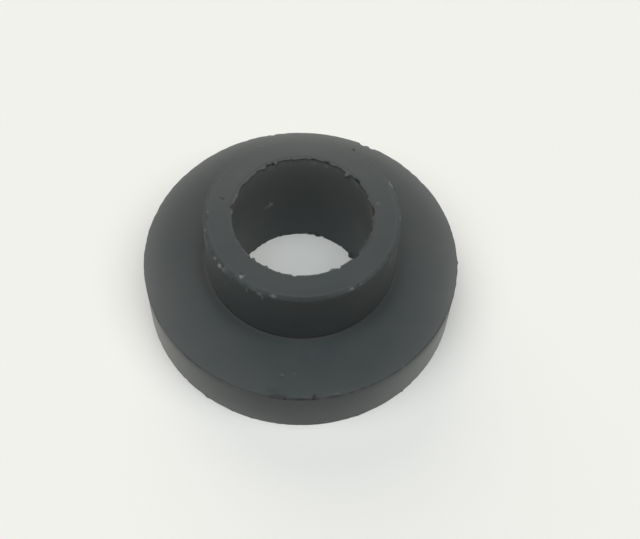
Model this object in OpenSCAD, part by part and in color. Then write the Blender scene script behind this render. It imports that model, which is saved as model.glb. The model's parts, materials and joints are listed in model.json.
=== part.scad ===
// Rubber mount: one moulded piece, a flanged bush with a straight bore right through it.
// The flange lies on z = 0, the boss stands up along +Z and the bore's axis is the Z axis.

/* [Flange] */
// Outside diameter of the flange
flange_d = 31.75; // [28:0.05:60]
// Thickness of the flange
flange_t = 6.3; // [2:0.1:15]
// Round on the flange's upper and lower rims
rim_round = 0.15; // [0.05:0.05:0.8]

/* [Boss] */
// Outside diameter of the boss that seats in a panel hole
boss_d = 19.05; // [16:0.05:26]
// Height of the boss above the flange
boss_h = 7.3; // [2:0.1:20]
// Soft round on the boss's outer top edge
crown_round = 0.35; // [0.05:0.05:0.8]
// Fillet in the corner between the boss and the flange
root_fillet = 0.2; // [0.05:0.05:0.8]

/* [Bore] */
// Diameter of the bore that a bolt or a sleeve goes through
bore_d = 13.5; // [5:0.1:14]
// Round on the bore's upper and lower lips
lip_round = 0.15; // [0.05:0.05:0.3]

/* [Hidden] */
$fn = 96;

flange_r = flange_d / 2;
boss_r = boss_d / 2;
bore_r = bore_d / 2;
top_z = flange_t + boss_h;

// What a round takes off a square corner, or what a fillet adds in one.
// The corner is at the origin, and the piece lies in the +X +Y quarter.
module corner_piece(r) {
    difference() {
        square(r);
        translate([r, r]) circle(r);
    }
}

// A corner piece moved to a corner of the section, facing the way it points along X and Y.
module corner_at(x, z, to_x, to_z, r) {
    translate([x, z]) mirror([to_x < 0 ? 1 : 0, 0]) mirror([0, to_z < 0 ? 1 : 0]) corner_piece(r);
}

// Half of the lengthwise section, to the right of the bore's axis.
module half_section() {
    difference() {
        union() {
            translate([bore_r, 0]) square([flange_r - bore_r, flange_t]);
            translate([bore_r, 0]) square([boss_r - bore_r, top_z]);
            corner_at(boss_r, flange_t, 1, 1, root_fillet);
        }
        corner_at(flange_r, 0, -1, 1, rim_round);
        corner_at(flange_r, flange_t, -1, -1, rim_round);
        corner_at(boss_r, top_z, -1, -1, crown_round);
        corner_at(bore_r, top_z, 1, -1, lip_round);
        corner_at(bore_r, 0, 1, 1, lip_round);
    }
}

module rubber_mount() {
    color([0.20, 0.21, 0.21]) rotate_extrude() half_section();
}

rubber_mount();
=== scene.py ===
import json
import math
import bmesh
import bpy
from mathutils import Matrix, Vector, noise


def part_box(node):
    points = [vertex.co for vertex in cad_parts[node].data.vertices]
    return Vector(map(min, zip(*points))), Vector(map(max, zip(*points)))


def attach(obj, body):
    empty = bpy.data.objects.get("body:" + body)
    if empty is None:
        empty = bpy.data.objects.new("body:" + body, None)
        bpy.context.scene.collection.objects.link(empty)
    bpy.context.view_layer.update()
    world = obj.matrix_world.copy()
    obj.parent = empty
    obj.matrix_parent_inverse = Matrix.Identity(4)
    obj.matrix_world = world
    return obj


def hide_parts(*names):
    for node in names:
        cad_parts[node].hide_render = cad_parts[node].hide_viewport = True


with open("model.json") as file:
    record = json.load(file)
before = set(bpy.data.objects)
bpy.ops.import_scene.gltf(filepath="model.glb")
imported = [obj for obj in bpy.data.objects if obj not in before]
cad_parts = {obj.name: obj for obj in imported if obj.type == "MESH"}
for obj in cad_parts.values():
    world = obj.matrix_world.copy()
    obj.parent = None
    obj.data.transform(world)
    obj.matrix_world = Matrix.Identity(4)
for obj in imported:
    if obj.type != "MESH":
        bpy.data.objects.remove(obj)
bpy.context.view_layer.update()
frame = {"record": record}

mm = 0.001
touch = 0.004 * mm              # places closer than this are the same
frontAt = 270                   # degrees round the axis from +X

# sizes that the frame already knows
mountPlaces = {place["name"]: place for place in frame["record"]["mounts"]}
boxLow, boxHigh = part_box("rubber_mount")
boreRadius = mountPlaces["bore"]["dims"]["r_mm"] * mm
bossRadius = mountPlaces["boss"]["dims"]["r_mm"] * mm
flangeRadius = (boxHigh.x - boxLow.x) / 2
flangeTop = mountPlaces["shoulder"]["pos_m"][2]
bossTop = boxHigh.z


def clearSelection():
    if bpy.context.object and bpy.context.object.mode != "OBJECT":
        bpy.ops.object.mode_set(mode="OBJECT")
    bpy.ops.object.select_all(action="DESELECT")


def pick(kind, test):
    # selects the verts, edges or faces whose middle and length pass the test
    bpy.ops.mesh.select_mode(type=kind)
    bpy.ops.mesh.select_all(action="DESELECT")
    mesh = bmesh.from_edit_mesh(bpy.context.object.data)
    if kind == "VERT":
        chosen = [vert for vert in mesh.verts if test(vert.co, 0)]
    elif kind == "EDGE":
        chosen = [e for e in mesh.edges if test((e.verts[0].co + e.verts[1].co) / 2, e.calc_length())]
    else:
        chosen = [face for face in mesh.faces if test(face.calc_center_median(), 0)]
    for part in chosen:
        part.select = True
    mesh.select_flush_mode()
    bmesh.update_edit_mesh(bpy.context.object.data)


def near(a, b):
    return abs(a - b) < touch


# Rubber mount. Its section is drawn, rounded, cut into rows and spun about the bore's axis.

mountForm = {
    "rimRound": 0.08 * mm,      # flange edges, top and bottom
    "crownRound": 0.35 * mm,    # soft outer top edge of the boss
    "rootFillet": 0.08 * mm,    # seat corner between boss and flange
    "lipRound": 0.06 * mm,      # bore edges, top and bottom
    "roundSegments": 4,
    "edgeBand": 0.8 * mm,       # strip beside each edge that gets fine rows
    "fineRow": 0.11 * mm,
    "plainRow": 0.40 * mm,
    "hiddenRow": 1.2 * mm,      # underside
    "turns": 480,               # steps of the spin
    "weld": 0.002 * mm,         # closes the seam of the spin
}

edgeLines = {                   # radius and height of every edge that wears
    "boreLip": (boreRadius, bossTop),
    "crown": (bossRadius, bossTop),
    "rim": (flangeRadius, flangeTop),
    "foot": (flangeRadius, 0),
    "boreFoot": (boreRadius, 0),
}


def drawSection():
    clearSelection()
    bpy.ops.mesh.primitive_plane_add(size=1, rotation=(math.radians(90), 0, 0))
    section = bpy.context.object
    section.name = "rubberMount"
    section.scale = (flangeRadius - boreRadius, flangeTop, 1)
    section.location = ((flangeRadius + boreRadius) / 2, 0, flangeTop / 2)
    bpy.ops.object.transform_apply(location=True, rotation=True, scale=True)

    bpy.ops.object.mode_set(mode="EDIT")
    bpy.ops.mesh.select_all(action="SELECT")
    bpy.ops.mesh.bisect(plane_co=(bossRadius, 0, 0), plane_no=(1, 0, 0))
    pick("EDGE", lambda mid, length: near(mid.z, flangeTop) and mid.x < bossRadius)
    bpy.ops.mesh.extrude_region_move(TRANSFORM_OT_translate={"value": (0, 0, bossTop - flangeTop)})

    # cuts that part the strips beside the edges from the plain runs
    band = mountForm["edgeBand"]
    for height in (band, flangeTop - band, bossTop - band):
        bpy.ops.mesh.select_all(action="SELECT")
        bpy.ops.mesh.bisect(plane_co=(0, 0, height), plane_no=(0, 0, 1))
    for across in (boreRadius + band, bossRadius - band, flangeRadius - band):
        bpy.ops.mesh.select_all(action="SELECT")
        bpy.ops.mesh.bisect(plane_co=(across, 0, 0), plane_no=(1, 0, 0))
    bpy.ops.mesh.select_all(action="SELECT")
    bpy.ops.mesh.dissolve_faces(use_verts=False)
    bpy.ops.mesh.select_all(action="SELECT")
    bpy.ops.mesh.delete(type="ONLY_FACE")
    return section


def roundCorner(across, height, radius):
    pick("VERT", lambda co, length: near(co.x, across) and near(co.z, height))
    bpy.ops.mesh.bevel(affect="VERTICES", offset=radius, segments=mountForm["roundSegments"])


def rowsFor(mid, length):
    # how many rows an edge of the outline is cut into
    band = mountForm["edgeBand"]
    if any(math.hypot(mid.x - line[0], mid.z - line[1]) < band for line in edgeLines.values()):
        row = mountForm["fineRow"]
    elif near(mid.z, 0):
        row = mountForm["hiddenRow"]
    else:
        row = mountForm["plainRow"]
    return max(1, round(length / row))


def cutRows(section):
    outline = bmesh.from_edit_mesh(section.data)
    counts = {rowsFor((e.verts[0].co + e.verts[1].co) / 2, e.calc_length()) for e in outline.edges}
    for count in sorted(counts - {1}, reverse=True):
        pick("EDGE", lambda mid, length: rowsFor(mid, length) == count)
        bpy.ops.mesh.subdivide(number_cuts=count - 1)


def buildMount():
    section = drawSection()
    roundCorner(flangeRadius, 0, mountForm["rimRound"])
    roundCorner(flangeRadius, flangeTop, mountForm["rimRound"])
    roundCorner(bossRadius, bossTop, mountForm["crownRound"])
    roundCorner(bossRadius, flangeTop, mountForm["rootFillet"])
    roundCorner(boreRadius, bossTop, mountForm["lipRound"])
    roundCorner(boreRadius, 0, mountForm["lipRound"])
    cutRows(section)
    bpy.ops.mesh.select_all(action="SELECT")
    bpy.ops.mesh.spin(steps=mountForm["turns"], angle=math.tau, center=(0, 0, 0), axis=(0, 0, 1))
    bpy.ops.mesh.select_all(action="SELECT")
    bpy.ops.mesh.remove_doubles(threshold=mountForm["weld"])
    bpy.ops.mesh.normals_make_consistent(inside=False)
    bpy.ops.object.mode_set(mode="OBJECT")
    bpy.ops.object.shade_smooth()
    return section


mount = buildMount()
print("mount spun:", len(mount.data.polygons), "faces")


# Wear. Places are degrees round the axis, 0 at +X and 270 at the front, and sizes are millimetres.
# A mark is (place, width, depth). A positive depth is torn or chipped away, a negative one stands proud.

edgeWear = {
    "boreLip": {
        "reach": 0.42, "waves": 44, "wavy": 0.07, "bits": 120, "ragged": 0.12, "calm": 0.8,
        "marks": [
            (6.2, 1.9, 0.30), (17.5, 0.6, -0.16), (38.5, 0.9, 0.26), (45.2, 0.6, 0.14), (48.8, 0.6, -0.72),
            (70, 0.9, 0.24), (81, 0.8, 0.16), (96, 1.4, -0.08), (114, 0.4, -0.24), (116.4, 0.4, 0.18),
            (121, 0.6, 0.16), (125.2, 0.6, -0.26), (142, 2.5, -0.15), (162.4, 1.5, -0.28), (174, 0.6, 0.12),
            (179, 0.6, -0.18), (226.4, 0.5, 0.12), (228.6, 0.4, -0.14), (241.4, 0.5, -0.20), (265, 0.6, 0.20),
            (295.6, 0.9, -0.14), (301.4, 0.4, 0.22), (318.6, 0.8, 0.72), (331, 2.0, -0.08), (348, 1.6, 0.10),
            (357.6, 0.5, -0.18),
        ],
    },
    "boreFoot": {
        "reach": 0.40, "waves": 40, "wavy": 0.06, "bits": 110, "ragged": 0.12,
        "marks": [
            (36.5, 1.1, -0.45), (57, 1.4, -0.12), (71, 0.4, 0.16), (76, 0.4, -0.12), (112, 0.6, 0.12),
            (143, 0.8, 0.14),
        ],
    },
    "crown": {
        "reach": 0.45, "waves": 50, "wavy": 0.10, "bits": 150, "ragged": 0.20,
        "marks": [
            (196, 0.9, 0.12), (208, 0.5, 0.14), (226, 1.0, 0.12), (236, 0.6, 0.16), (250, 0.7, 0.14),
            (325, 0.8, 0.14),
        ],
    },
    "rim": {
        "reach": 0.30, "waves": 60, "wavy": 0.03, "bits": 190, "ragged": 0.05,
        "marks": [(62.2, 0.6, 0.24), (66.2, 0.7, 0.32), (102.5, 0.6, 0.10), (358.7, 0.5, -0.12)],
    },
    "foot": {
        "reach": 0.30, "waves": 60, "wavy": 0.03, "bits": 190, "ragged": 0.04,
        "marks": [
            (235.2, 0.6, -0.15), (245.7, 0.6, -0.07), (253.3, 0.5, -0.08), (292.2, 0.4, -0.10),
            (311.4, 0.5, -0.18), (225, 0.8, 0.06),
        ],
    },
}

# how rubber gives way at an edge or a spot
wearForm = {
    "deepest": 0.6, "least": 0.002,
    "raggedMark": 0.5, "seedStep": 2.7, "bitsSeed": 7, "markSeed": 13,  # seeds give each edge its own noise
    "tearReach": 0.95, "tearAcross": 1.5, "tearDown": 0.45,             # tears run down the bore's wall
    "burr": 1.5, "footBurr": 5,                                         # burrs stand out sideways only
    "raggedSpot": 0.6, "spotGrain": 6, "spotEdge": 0.65,
    "spotMargin": 0.05, "finePale": 0.4,                                # stronger spots get finer faces
}

# what is left of the moulding flash on the front of the rim
flash = {
    "from": 228, "to": 314, "middle": 276, "height": 0.30, "proud": 0.10,
    "level": 0.75, "broken": 0.9, "bits": 150, "seed": 3.3,
}

# the boss's top edge, rubbed pale in places and matt all round
crownRub = {
    "width": 0.5, "matt": 0.3, "dull": 0.8, "dullBack": 0.25,
    "scuffWidth": 0.4, "scuff": 0.08, "scuffLevel": 0.25, "scuffElsewhere": 0.35, "bits": 90, "seed": 5.1,
}

# painted shadow under the rim's edge: degrees, half width in degrees, how dark
rimShadowSpots = [
    (228.0, 3.0, 0.30), (232.0, 1.2, 0.20), (242.5, 0.8, 0.20), (261.0, 1.1, 0.40), (263.4, 1.3, 0.35),
    (265.5, 1.0, 0.60), (270.5, 5.5, 0.45), (275.4, 1.1, 0.70), (276.8, 1.0, 0.40), (282.0, 4.0, 0.30),
    (288.6, 1.0, 0.40), (292.6, 0.9, 0.50), (296.5, 1.4, 0.30), (299.0, 0.5, 0.40), (306.0, 4.0, 0.20),
    (310.6, 0.6, 0.30), (326.0, 18.0, 0.32),
]
rimBand = {"in": 0.3, "from": -0.2, "to": 0.7, "middle": 0.22, "half": 0.37}     # where that painted shadow lies

# grime and painted shade in worn edges: the most of it, how it grows with the depth, and what is taken off
wornGrimeAndShade = {"boreLip": (0.4, 2.4, 0.1), "rim": (0.6, 3, 0.2)}

# painted light on the flange's side, standing for glare and reflections of the floor, with turns in degrees
# away from the front
sidePaintedLight = {
    "low": 0.25, "lowPower": 1.5,                                       # grows towards the foot
    "foot": 0.22, "footFrom": 0.6,                                      # more at the foot on the left
    "ends": 0.98, "endsFrom": 8, "endsTurn": 57, "endsPower": 1.7,      # most to the left and right
    "fade": 0.55, "fadeFrom": 63, "fadeTurn": 18,                       # less again towards the back
    "wander": 4, "wanderAt": 78, "wanderHalf": 14,                      # that edge wanders
    "wanderUp": 0.6, "wanderRound": 8, "wanderStart": 1.1,
    "rise": 4, "riseRight": 1.4, "endsRight": 0.25,                     # thinner on the right
}

# painted light elsewhere: the flange's rim and underside, the bore, the boss's top and its wall
paintedLight = {
    "asideFull": 0.36, "asidePower": 2.2, "under": 0.11, "right": 0.04,
    "rim": 0.055, "rimAside": 0.31, "rimBack": 0.60, "backFrom": 0.4, "rimFade": 1.4,
    "bore": 0.06, "mouth": 0.76, "mouthFade": 3.0, "mouthLevel": 0.4, "mouthRise": 1.5, "mouthRight": 0.85,
    "top": 0.095, "topLevel": 0.55, "topMost": 0.5, "topBack": 0.25, "topBackFrom": 0.58,
    "crown": 0.09, "crownWidth": 0.7, "crownRight": 0.12, "crownRightWidth": 0.6,
    "wall": 0.21, "wallLevel": 0.4, "wallRise": 0.12,
    "wallFoot": 0.11, "wallFootUp": 0.4, "wallFootRight": 0.8,
}

# painted shade that darkens the rubber, with the widths of its bands
paintedShade = {
    "side": 0.32, "sideDown": 0.6, "sidePower": 5, "rim": 0.34,
    "foot": 0.30, "footWidth": 1.5, "footRight": 0.9, "footFront": 0.45, "root": 0.50, "rootWidth": 0.22,
    "wall": 0.34, "wallAt": 285, "wallPower": 4, "wallLow": 0.1,
    "crown": 0.30, "crownWidth": 0.35, "top": 0.20, "topAt": 8.7, "topHalf": 0.6,
    "lip": 0.28, "lipWidth": 0.5, "lipAt": 70, "lipTurn": 115, "lipFade": 20,
    "lipEdge": 0.55, "lipEdgeWidth": 0.18, "lipEdgeLevel": 0.6,
}

# stretches round the axis where wear, finish, painted light or painted shade change: middle and half width in
# degrees
stretches = {
    "calmLip": (280, 40), "shadedRim": (270, 130),
    "scuffedCrown": (225, 50), "mattCrown": (272, 32), "backCrown": (90, 75),
    "sideRight": (350, 18), "sideRiseRight": (335, 25), "sideFootLeft": (249, 22),
    "flangeRight": (15, 55), "footRight": (5, 40), "footFront": (272, 45), "wallFootRight": (318, 35),
    "mouthRight": (338, 35), "lipEdgeRight": (340, 70), "lipEdgeFront": (270, 45),
    "crownRight": (10, 60), "crownFront": (272, 26), "topFront": (280, 35),
}

# how close to a surface a point counts as part of it
skin = {"side": 0.12, "rim": 0.05, "root": 0.1, "under": 0.3, "bore": 0.12, "top": 0.12}

# flakes, pits and crumbs: degrees, radius, height, half widths round and across, depth, pale (dirty below 0)
spots = [
    (171.6, 9.38, 13.60, 0.20, 0.18, -0.03, 0.14),
    (179.6, 9.06, 13.60, 0.18, 0.22, -0.03, 0.10),
    (183.6, 9.04, 13.60, 0.46, 0.20, 0.04, -0.26),
    (192.7, 9.42, 13.56, 0.26, 0.22, -0.05, 0.26),
    (212.3, 9.54, 13.36, 0.28, 0.24, -0.07, 0.32),
    (217.5, 9.56, 13.28, 0.40, 0.32, -0.12, 0.52),
    (219.6, 9.42, 13.56, 0.16, 0.16, 0.05, -0.35),
    (221.4, 9.54, 13.22, 0.40, 0.38, -0.05, 0.22),
    (222.6, 9.53, 11.36, 0.44, 0.17, -0.03, 0.17),
    (230.9, 8.70, 13.60, 0.18, 0.15, 0.05, -0.40),
    (232.3, 8.95, 13.60, 0.24, 0.24, -0.05, 0.42),
    (238.6, 9.54, 12.95, 0.12, 0.45, -0.03, 0.22),
    (246.6, 9.52, 13.30, 0.30, 0.24, -0.05, 0.26),
    (248.4, 9.54, 12.90, 0.14, 0.40, -0.03, 0.24),
    (254.7, 9.40, 13.56, 0.38, 0.24, -0.06, 0.26),
    (300.3, 9.36, 13.55, 0.26, 0.22, -0.06, 0.26),
    (298.6, 9.44, 13.50, 0.24, 0.14, -0.03, 0.12),
    (306.0, 9.42, 13.52, 0.22, 0.18, -0.04, 0.18),
    (331.4, 9.53, 12.75, 0.16, 0.48, -0.03, 0.32),
    (0.0, 9.42, 13.50, 0.65, 0.20, -0.10, 0.10),
    (24.0, 9.42, 13.50, 0.62, 0.24, -0.15, 0.32),
    (11.8, 7.48, 13.60, 0.25, 0.20, -0.02, 0.10),
    (119.6, 6.75, 6.77, 0.38, 0.34, -0.05, 0.55),
    (123.8, 6.75, 6.62, 0.36, 0.28, -0.03, 0.24),
    (68.4, 14.63, 6.30, 0.28, 0.24, 0.10, -0.75),
    (167.8, 7.84, 13.60, 0.22, 0.20, 0.07, -0.60),
    (261.2, 15.87, 6.18, 0.26, 0.18, -0.06, -0.55),
    (263.3, 15.80, 6.25, 1.00, 0.22, -0.03, -0.36),
    (265.5, 15.87, 6.18, 0.30, 0.20, -0.08, -0.62),
    (275.5, 15.72, 6.28, 0.20, 0.36, 0.02, -0.60),
    (261.6, 15.40, 6.30, 1.20, 0.60, 0.00, -0.14),
    (283.7, 15.74, 6.30, 0.12, 0.14, -0.03, 0.15),
    (309.2, 15.87, 5.95, 0.16, 0.60, 0.00, 0.08),
    (263.5, 13.48, 6.30, 0.24, 0.15, -0.03, 0.07),
    (268.3, 13.36, 6.30, 0.24, 0.15, -0.03, 0.07),
    (263.5, 13.74, 6.30, 0.22, 0.16, 0.02, -0.22),
    (280.2, 15.87, 0.66, 0.16, 0.14, -0.04, 0.45),
    (219.2, 9.54, 6.60, 0.16, 0.18, 0.05, -0.60),
    (221.8, 9.54, 6.62, 0.18, 0.20, 0.05, -0.60),
    (225.7, 9.54, 6.55, 0.16, 0.16, 0.05, -0.50),
]


def polar(co):
    return math.degrees(math.atan2(co.y, co.x)) % 360, math.hypot(co.x, co.y), co.z


def turnFrom(place, azimuth):
    return (azimuth - place + 180) % 360 - 180


def swell(x):
    # 1 in the middle, 0 from x = 1 outwards
    return max(0.0, 1 - x * x) ** 1.5


def within(name, azimuth):
    # 1 in the middle of a stretch, 0 outside it
    middle, half = stretches[name]
    return swell(turnFrom(middle, azimuth) / half)


def limit(x):
    # keeps a share between 0 and 1
    return min(1, max(0, x))


def facing(place, azimuth):
    # 1 towards a place, 0 away from it
    return 0.5 + 0.5 * math.cos(math.radians(azimuth - place))


def ripple(azimuth, waves, seed):
    around = waves / math.tau
    angle = math.radians(azimuth)
    return noise.noise(Vector((around * math.cos(angle), around * math.sin(angle), seed)))


def edgeDepth(name, azimuth, radius, seed):
    # how deep an edge is worn at a place round it, in millimetres
    wear = edgeWear[name]
    depth = wear["wavy"] * ripple(azimuth, wear["waves"], seed)
    depth += wear["ragged"] * ripple(azimuth, wear["bits"], seed + wearForm["bitsSeed"])
    if "calm" in wear:
        depth *= 1 - wear["calm"] * within("calmLip", azimuth)
    for place, width, deep in wear["marks"]:
        apart = math.radians(abs(turnFrom(place, azimuth))) * radius / mm
        ragged = 1 + wearForm["raggedMark"] * ripple(azimuth, wear["bits"], seed + wearForm["markSeed"])
        depth += deep * swell(apart / (width / 2) * ragged)
    return depth


def flashShare(azimuth):
    if not flash["from"] < azimuth < flash["to"]:
        return 0
    half = flash["to"] - flash["middle"] if azimuth > flash["middle"] else flash["middle"] - flash["from"]
    left = max(0, flash["level"] + flash["broken"] * ripple(azimuth, flash["bits"], flash["seed"]))
    return swell((azimuth - flash["middle"]) / half) * left


def spotShare(spot, azimuth, radius, height):
    # 1 in the middle of a spot, falling to 0 at its ragged outline
    place, spotRadius, spotHeight, halfRound, halfAcross = spot[:5]
    along = math.radians(turnFrom(place, azimuth)) * radius / mm
    across = math.hypot(radius / mm - spotRadius, height / mm - spotHeight)
    if abs(along) > 2 * halfRound or across > 2 * halfAcross:
        return 0
    grain = wearForm["spotGrain"]
    bits = noise.noise(Vector((along * grain, (radius + height) / mm * grain, place)))
    ragged = 1 + wearForm["raggedSpot"] * bits
    return limit((1 - math.hypot(along / halfRound, across / halfAcross) * ragged) / wearForm["spotEdge"])


def crownScuff(azimuth):
    # rubbed paler in places, most on the left
    elsewhere = crownRub["scuffElsewhere"]
    bits = max(0, crownRub["scuffLevel"] + ripple(azimuth, crownRub["bits"], crownRub["seed"]))
    return crownRub["scuff"] * bits * (elsewhere + (1 - elsewhere) * within("scuffedCrown", azimuth))


# painted shadow under the rim's edge, darkest at the front
def rimShadowAt(azimuth):
    rimShade = paintedShade["rim"] * within("shadedRim", azimuth)
    return rimShade + max(shade * swell(turnFrom(place, azimuth) / half) for place, half, shade in rimShadowSpots)


# painted light towards the side's ends and foot, and painted shade under the rim at the front
def sideFinish(azimuth, height, front):
    look = sidePaintedLight
    down = 1 - height / flangeTop
    turn = abs(turnFrom(frontAt, azimuth))
    wave = math.sin(look["wanderUp"] * height / mm + azimuth / look["wanderRound"] - look["wanderStart"])
    turn += look["wander"] * wave * swell((turn - look["wanderAt"]) / look["wanderHalf"])
    fade = limit((turn - look["fadeFrom"]) / look["fadeTurn"])
    ends = limit((turn - look["endsFrom"]) / look["endsTurn"]) ** look["endsPower"]
    ends -= look["fade"] * fade * fade * (3 - 2 * fade)
    ends -= look["endsRight"] * within("sideRight", azimuth)
    rise = look["rise"] - look["riseRight"] * within("sideRiseRight", azimuth)
    foot = max(0, (down - look["footFrom"]) / (1 - look["footFrom"])) * within("sideFootLeft", azimuth)
    share = look["low"] * down ** look["lowPower"] + look["ends"] * ends * min(1, rise * down)
    share += look["foot"] * foot
    return share, paintedShade["side"] * max(0, 1 - down / paintedShade["sideDown"]) * front ** paintedShade["sidePower"]


# painted light towards the flange's rim, back and sides, and painted shade round the boss's foot
def flangeFinish(azimuth, inRim, corner, front, aside):
    share = paintedLight["rim"] + paintedLight["rimAside"] * aside ** paintedLight["asidePower"]
    share += paintedLight["rimBack"] * max(0, paintedLight["backFrom"] - front)
    share = share * math.exp(-inRim / paintedLight["rimFade"]) + paintedLight["right"] * within("flangeRight", azimuth)
    footShade = paintedShade["foot"] * swell(corner / paintedShade["footWidth"])
    footShade *= 1 - paintedShade["footRight"] * within("footRight", azimuth)
    footShade *= 1 - paintedShade["footFront"] * within("footFront", azimuth)
    return share, max(footShade, paintedShade["root"] * swell(corner / paintedShade["rootWidth"]))


# painted light in the bore's mouth
def boreFinish(azimuth, height):
    deep = (bossTop - height) / mm
    mouth = paintedLight["mouth"] * math.exp(-deep / paintedLight["mouthFade"])
    mouth *= min(1, paintedLight["mouthLevel"] + paintedLight["mouthRise"] * deep)
    return paintedLight["bore"] + mouth * (1 - paintedLight["mouthRight"] * within("mouthRight", azimuth))


# painted light on the boss's top, most to the back, and painted shade at its front
def topFinish(azimuth, radius):
    back = radius * math.sin(math.radians(azimuth)) / bossRadius
    inCrown = (bossRadius - radius) / mm
    share = paintedLight["top"] * max(0, paintedLight["topLevel"] + min(back, paintedLight["topMost"])) ** 2
    share += paintedLight["topBack"] * max(0, (back - paintedLight["topBackFrom"]) / (1 - paintedLight["topBackFrom"])) ** 2
    beside = max(0, 1 - inCrown / paintedLight["crownRightWidth"])
    share += paintedLight["crownRight"] * within("crownRight", azimuth) * beside
    crownShade = paintedShade["crown"] * within("crownFront", azimuth) * (inCrown < paintedShade["crownWidth"])
    topBand = swell((radius / mm - paintedShade["topAt"]) / paintedShade["topHalf"])
    topShade = paintedShade["top"] * topBand * within("topFront", azimuth)
    return share, max(crownShade, topShade)


# painted light on the wall's sides and foot, and painted shade on its front
def wallFinish(azimuth, height, corner, aside):
    up = (height - flangeTop) / (bossTop - flangeTop)
    foot = paintedLight["wallFoot"] * max(0, 1 - up / paintedLight["wallFootUp"])
    foot *= 1 - paintedLight["wallFootRight"] * within("wallFootRight", azimuth)
    share = paintedLight["wall"] * aside * min(1, paintedLight["wallLevel"] + (1 - up) / paintedLight["wallRise"]) + foot
    wallShade = paintedShade["wall"] * facing(paintedShade["wallAt"], azimuth) ** paintedShade["wallPower"]
    wallShade *= min(1, up + paintedShade["wallLow"])
    return share, max(wallShade, paintedShade["root"] * swell(corner / paintedShade["rootWidth"]))


def paintedLightAndShade(azimuth, radius, height):
    # painted light is strongest round the outside of the flange and in the bore's mouth, painted shade lies
    # at the front
    front = facing(frontAt, azimuth)
    aside = min(1, (1 - front) / paintedLight["asideFull"])
    inRim = (flangeRadius - radius) / mm
    corner = math.hypot(radius - bossRadius, height - flangeTop) / mm
    if inRim < skin["side"] and height < flangeTop - skin["rim"] * mm:
        return sideFinish(azimuth, height, front)
    if radius > bossRadius + skin["root"] * mm:
        if height < flangeTop - skin["under"] * mm:
            return paintedLight["under"], 0
        return flangeFinish(azimuth, inRim, corner, front, aside)

    lip = math.hypot(radius - boreRadius, height - bossTop) / mm
    # painted shade round the bore's lip, to the back
    lipSide = limit((paintedShade["lipTurn"] - abs(turnFrom(paintedShade["lipAt"], azimuth))) / paintedShade["lipFade"])
    lipShade = paintedShade["lip"] * swell(lip / paintedShade["lipWidth"]) * lipSide
    if radius < boreRadius + skin["bore"] * mm:
        return boreFinish(azimuth, height), lipShade
    crown = math.hypot(radius - bossRadius, height - bossTop) / mm
    crownPaintedLight = paintedLight["crown"] * swell(crown / paintedLight["crownWidth"])
    if height > bossTop - skin["top"] * mm:
        share, shade = topFinish(azimuth, radius)
        return share + crownPaintedLight, max(shade, lipShade)
    share, shade = wallFinish(azimuth, height, corner, aside)
    return share + crownPaintedLight, shade


def refineSpots():
    bpy.ops.object.mode_set(mode="EDIT")
    for place, radius, height, halfRound, halfAcross, deep, pale in spots:
        angle = math.radians(place)
        middle = Vector((radius * math.cos(angle), radius * math.sin(angle), height)) * mm
        reach = (max(halfRound, halfAcross) + wearForm["spotMargin"]) * mm
        pick("FACE", lambda mid, length: (mid - middle).length < reach)
        bpy.ops.mesh.subdivide(number_cuts=2 if abs(pale) > wearForm["finePale"] else 1)
    bpy.ops.object.mode_set(mode="OBJECT")


def edgeWearAt(azimuth, radius, height, sideways):
    # depth and grime that the worn edges nearby give to a point
    depth = grimeAndShade = 0.0
    for seed, (name, line) in enumerate(edgeLines.items()):
        out, down = (radius - line[0]) / mm, (line[1] - height) / mm
        apart = math.hypot(out, down)
        reach = edgeWear[name]["reach"]
        if apart >= (wearForm["tearReach"] if name == "boreLip" else reach):
            continue
        worn = edgeDepth(name, azimuth, line[0], seed * wearForm["seedStep"])
        if name == "boreLip" and worn > 0:
            apart = math.hypot(wearForm["tearAcross"] * out, wearForm["tearDown"] * down)
        worn *= swell(apart / reach)
        level = wearForm["footBurr"] if line[1] == 0 else wearForm["burr"]
        depth += worn if worn > 0 else worn * sideways ** level
        if name in wornGrimeAndShade:
            most, growth, off = wornGrimeAndShade[name]
            grimeAndShade = max(grimeAndShade, min(most, growth * worn - off))
    return depth, grimeAndShade


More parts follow.
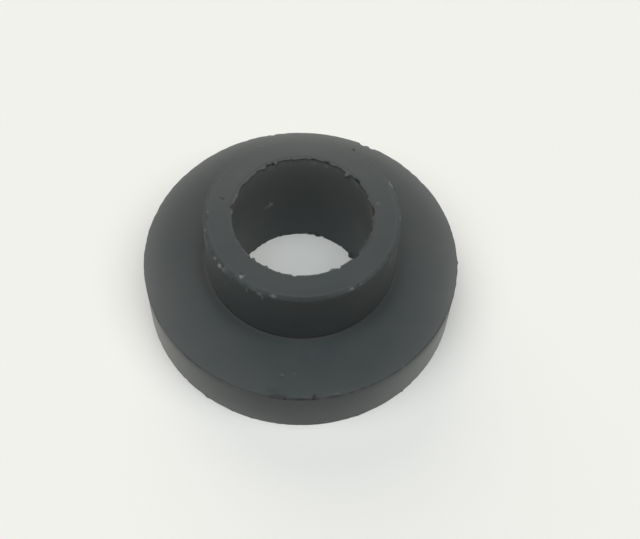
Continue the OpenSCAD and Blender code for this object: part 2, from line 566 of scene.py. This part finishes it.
def wearMount():
    refineSpots()
    count = len(mount.data.vertices)
    torn = mount.vertex_groups.new(name="torn")
    proud = mount.vertex_groups.new(name="proud")
    deepest = wearForm["deepest"]
    finish = {name: [0.0] * count for name in ("pale", "dirtAndShade", "paintedLight", "matt", "dull")}
    for vert in mount.data.vertices:
        azimuth, radius, height = polar(vert.co)
        sideways = 1 - abs(vert.normal.z)
        # painted light and painted shade for this point
        paintedLightShare, dirtAndShade = paintedLightAndShade(azimuth, radius, height)
        depth, grimeAndShade = edgeWearAt(azimuth, radius, height, sideways)
        pale = matt = dull = 0.0

        crown = math.hypot(radius - bossRadius, height - bossTop) / mm
        if crown < crownRub["width"]:
            rubbed = min(1, 2 * swell(crown / crownRub["width"]))
            matt = rubbed * (crownRub["matt"] + (1 - crownRub["matt"]) * within("mattCrown", azimuth))
            pale = crownScuff(azimuth) * swell(crown / crownRub["scuffWidth"])
            dull = crownRub["dull"] * rubbed * (1 - crownRub["dullBack"] * within("backCrown", azimuth))

        below = (flangeTop - height) / mm
        past = below - (flangeRadius - radius) / mm     # down the side from the edge, or in from it below 0
        # the moulding flash stands proud here, and painted shadow lies under the rim's edge
        if radius > flangeRadius - rimBand["in"] * mm and rimBand["from"] < past < rimBand["to"]:
            depth -= flash["proud"] * flashShare(azimuth) * sideways * swell(below / flash["height"])
            rimShade = min(1, rimShadowAt(azimuth)) * swell((past - rimBand["middle"]) / rimBand["half"])
            grimeAndShade = max(grimeAndShade, rimShade)

        # painted shade in the corner at the boss's foot
        corner = math.hypot(radius - bossRadius, height - flangeTop) / mm
        grimeAndShade = max(grimeAndShade, paintedShade["root"] * swell(corner / paintedShade["rootWidth"]))
        # painted shade along the bore's lip, least at the front
        lip = math.hypot(radius - boreRadius, height - bossTop) / mm
        level = paintedShade["lipEdgeLevel"]
        lipEdge = paintedShade["lipEdge"] * swell(lip / paintedShade["lipEdgeWidth"])
        lipEdge *= level + (1 - level) * within("lipEdgeRight", azimuth)
        grimeAndShade = max(grimeAndShade, lipEdge * (1 - within("lipEdgeFront", azimuth)))

        for spot in spots:
            share = spotShare(spot, azimuth, radius, height)
            if share > 0:
                deep, tone = spot[5:]
                depth += deep * share
                pale = max(pale, tone * share)
                grimeAndShade = max(grimeAndShade, -tone * share)

        # the darkening holds dirt and painted shade
        dirtAndShade, dull = max(dirtAndShade, grimeAndShade), max(dull, grimeAndShade)
        values = {"pale": pale, "dirtAndShade": dirtAndShade, "paintedLight": paintedLightShare, "matt": matt, "dull": dull}
        for name, value in values.items():
            finish[name][vert.index] = value
        if depth > wearForm["least"]:
            torn.add([vert.index], min(1, depth / deepest), "REPLACE")
        elif depth < -wearForm["least"]:
            proud.add([vert.index], min(1, -depth / deepest), "REPLACE")

    for name, values in finish.items():
        layer = mount.data.attributes.new(name, "FLOAT", "POINT")
        layer.data.foreach_set("value", values)
    clearSelection()
    mount.select_set(True)
    bpy.context.view_layer.objects.active = mount
    for group, strength in (("torn", -deepest * mm), ("proud", deepest * mm)):
        bpy.ops.object.modifier_add(type="DISPLACE")
        press = mount.modifiers[-1]
        press.vertex_group = group
        press.strength = strength
        press.mid_level = 0
        bpy.ops.object.modifier_apply(modifier=press.name)


wearMount()
mount.data.calc_loop_triangles()
print("mount worn:", len(mount.data.loop_triangles), "triangles")


# Matt dark grey rubber with painted light and painted shade in its colour, scuffs, and grime where the mount
# is worn.

rubberLook = {
    "dark": (0.0330, 0.0415, 0.0430),
    "light": (0.0485, 0.0520, 0.0525),
    "mottle": (0.35, 4),                # size per millimetre and detail of a pattern
    # colour of the painted light
    "paintedLight": (0.194, 0.197, 0.188),
    "scuff": (0.290, 0.300, 0.295),
    # colour of dirt and of painted shade
    "dirtAndShade": (0.0135, 0.0120, 0.0095),
    "roughness": (0.45, 0.53),
    "roughPatches": (1.6, 3),
    "wornRoughness": 0.85,
    "specular": 0.21,
    "grain": (7.0, 4),
    "grainStrength": 0.10,
    "grainDepth": 0.02 * mm,
}


def addNode(tree, kind, place, **settings):
    node = tree.nodes.new(kind)
    node.location = place
    for name, value in settings.items():
        setattr(node, name, value)
    return node


def rubberMaterial():
    look = rubberLook
    material = bpy.data.materials.new("mouldedRubber")
    material.use_nodes = True
    tree = material.node_tree
    link = tree.links.new
    shader = tree.nodes["Principled BSDF"]
    coords = addNode(tree, "ShaderNodeTexCoord", (-1400, 0))
    scale = addNode(tree, "ShaderNodeMapping", (-1200, 0))
    scale.inputs["Scale"].default_value = (1 / mm, 1 / mm, 1 / mm)     # patterns below are per millimetre
    link(coords.outputs["Object"], scale.inputs["Vector"])

    def pattern(form, place):
        texture = addNode(tree, "ShaderNodeTexNoise", place)
        texture.inputs["Scale"].default_value = form[0]
        texture.inputs["Detail"].default_value = form[1]
        link(scale.outputs["Vector"], texture.inputs["Vector"])
        return texture.outputs["Fac"]

    def layer(name, place):
        return addNode(tree, "ShaderNodeAttribute", place, attribute_name=name).outputs["Fac"]

    def blend(share, low, high, place):
        mix = addNode(tree, "ShaderNodeMix", place, data_type="RGBA")
        link(share, mix.inputs["Factor"])
        for socket, value in ((6, low), (7, high)):
            if isinstance(value, tuple):
                mix.inputs[socket].default_value = (*value, 1)
            else:
                link(value, mix.inputs[socket])
        return mix.outputs[2]

    colour = blend(pattern(look["mottle"], (-950, 300)), look["dark"], look["light"], (-700, 300))
    # painted light, then dirt and painted shade, go into the base colour
    colour = blend(layer("paintedLight", (-1150, 560)), colour, look["paintedLight"], (-600, 300))
    colour = blend(layer("dirtAndShade", (-950, 560)), colour, look["dirtAndShade"], (-500, 300))
    colour = blend(layer("pale", (-700, 560)), colour, look["scuff"], (-300, 300))
    link(colour, shader.inputs["Base Color"])

    shine = addNode(tree, "ShaderNodeMapRange", (-500, 0))
    shine.inputs["To Min"].default_value = look["roughness"][0]
    shine.inputs["To Max"].default_value = look["roughness"][1]
    link(pattern(look["roughPatches"], (-950, 0)), shine.inputs["Value"])
    rough = addNode(tree, "ShaderNodeMix", (-300, 0), data_type="FLOAT")
    rough.inputs[3].default_value = look["wornRoughness"]
    link(layer("matt", (-500, -150)), rough.inputs[0])
    link(shine.outputs["Result"], rough.inputs[2])
    link(rough.outputs[0], shader.inputs["Roughness"])

    gloss = addNode(tree, "ShaderNodeMapRange", (-500, -420))
    gloss.inputs["To Min"].default_value = look["specular"]
    gloss.inputs["To Max"].default_value = 0.0
    link(layer("dull", (-700, -420)), gloss.inputs["Value"])
    shader.inputs["Specular IOR Level"].default_value = look["specular"]
    link(gloss.outputs["Result"], shader.inputs["Specular IOR Level"])

    bump = addNode(tree, "ShaderNodeBump", (-300, -250))
    bump.inputs["Strength"].default_value = look["grainStrength"]
    bump.inputs["Distance"].default_value = look["grainDepth"]
    link(pattern(look["grain"], (-950, -250)), bump.inputs["Height"])
    link(bump.outputs["Normal"], shader.inputs["Normal"])
    return material


mount.data.materials.append(rubberMaterial())
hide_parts("rubber_mount")
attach(mount, "root")
print("rubber finished")


# Stage: a pale floor, soft suns and an even sky.

stageLook = {
    "floorSize": 4.0,
    "floorCuts": 8,
    "floor": (0.815, 0.800, 0.770),
    "sky": (1.0, 1.0, 1.0),
    "skyStrength": 0.04,                # the little light that it gives
    "backdrop": (0.88, 0.88, 0.86),     # what the camera and reflections see of it
}

# degrees from the back, clockwise from above; height and spread in degrees; strength; colour
suns = [
    (180, 77, 40, 0.75, (0.90, 1.02, 1.08)),
    (240, 62, 45, 1.12, (0.98, 1.00, 1.02)),
    (120, 62, 45, 1.23, (1.00, 1.01, 0.99)),
    (340, 24, 60, 1.25, (1.13, 1.00, 0.86)),
]


def buildFloor():
    clearSelection()
    cuts = stageLook["floorCuts"]
    bpy.ops.mesh.primitive_grid_add(x_subdivisions=cuts, y_subdivisions=cuts, size=stageLook["floorSize"])
    floor = bpy.context.object
    floor.name = "floor"
    material = bpy.data.materials.new("paleFloor")
    material.use_nodes = True
    shader = material.node_tree.nodes["Principled BSDF"]
    shader.inputs["Base Color"].default_value = (*stageLook["floor"], 1)
    shader.inputs["Roughness"].default_value = 1.0
    shader.inputs["Specular IOR Level"].default_value = 0.0
    floor.data.materials.append(material)


def buildSky():
    world = bpy.data.worlds.new("evenSky")
    bpy.context.scene.world = world
    world.use_nodes = True
    tree = world.node_tree
    link = tree.links.new
    sky = tree.nodes["Background"]
    sky.inputs["Color"].default_value = (*stageLook["sky"], 1)
    sky.inputs["Strength"].default_value = stageLook["skyStrength"]
    seen = addNode(tree, "ShaderNodeBackground", (0, -200))
    seen.inputs["Color"].default_value = (*stageLook["backdrop"], 1)
    rays = addNode(tree, "ShaderNodeLightPath", (-400, 400))
    shown = rays.outputs["Is Camera Ray"]
    # reflections show the backdrop too
    for step, kind in enumerate(("Is Glossy Ray", "Is Transmission Ray")):
        either = addNode(tree, "ShaderNodeMath", (-200 + 200 * step, 400), operation="MAXIMUM")
        link(shown, either.inputs[0])
        link(rays.outputs[kind], either.inputs[1])
        shown = either.outputs["Value"]
    backdrop = addNode(tree, "ShaderNodeMixShader", (250, 100))
    link(shown, backdrop.inputs[0])
    link(sky.outputs["Background"], backdrop.inputs[1])
    link(seen.outputs["Background"], backdrop.inputs[2])
    link(backdrop.outputs["Shader"], tree.nodes["World Output"].inputs["Surface"])


def hangSuns():
    for number, (azimuth, height, spread, strength, colour) in enumerate(suns):
        around, up = math.radians(azimuth), math.radians(height)
        towards = Vector((math.sin(around) * math.cos(up), math.cos(around) * math.cos(up), math.sin(up)))
        turn = towards.to_track_quat("Z", "Y").to_euler()
        bpy.ops.object.light_add(type="SUN", location=towards, rotation=turn)
        lamp = bpy.context.object
        lamp.name = f"softSun{number}"
        lamp.data.energy = strength
        lamp.data.color = colour
        lamp.data.angle = math.radians(spread)


cameraView = {
    "place": (0.0, -58.2, 98.5),        # millimetres
    "aim": (2.05, 2.24, 0.0),
    "roll": 2.99,                       # degrees
    "lens": 60.43,
    "sensor": 36,
    "clip": 5 * mm,
}


def buildCamera():
    place = Vector(cameraView["place"]) * mm
    aim = Vector(cameraView["aim"]) * mm
    turn = (aim - place).to_track_quat("-Z", "Y").to_matrix().to_4x4()
    roll = Matrix.Rotation(math.radians(cameraView["roll"]), 4, "Z")
    bpy.ops.object.camera_add()
    camera = bpy.context.object
    camera.matrix_world = Matrix.Translation(place) @ turn @ roll
    camera.data.lens = cameraView["lens"]
    camera.data.sensor_width = cameraView["sensor"]
    camera.data.clip_start = cameraView["clip"]
    bpy.context.scene.camera = camera


buildFloor()
buildSky()
hangSuns()
buildCamera()
bpy.context.scene.view_settings.view_transform = "Standard"
print("stage, lamps and camera placed")
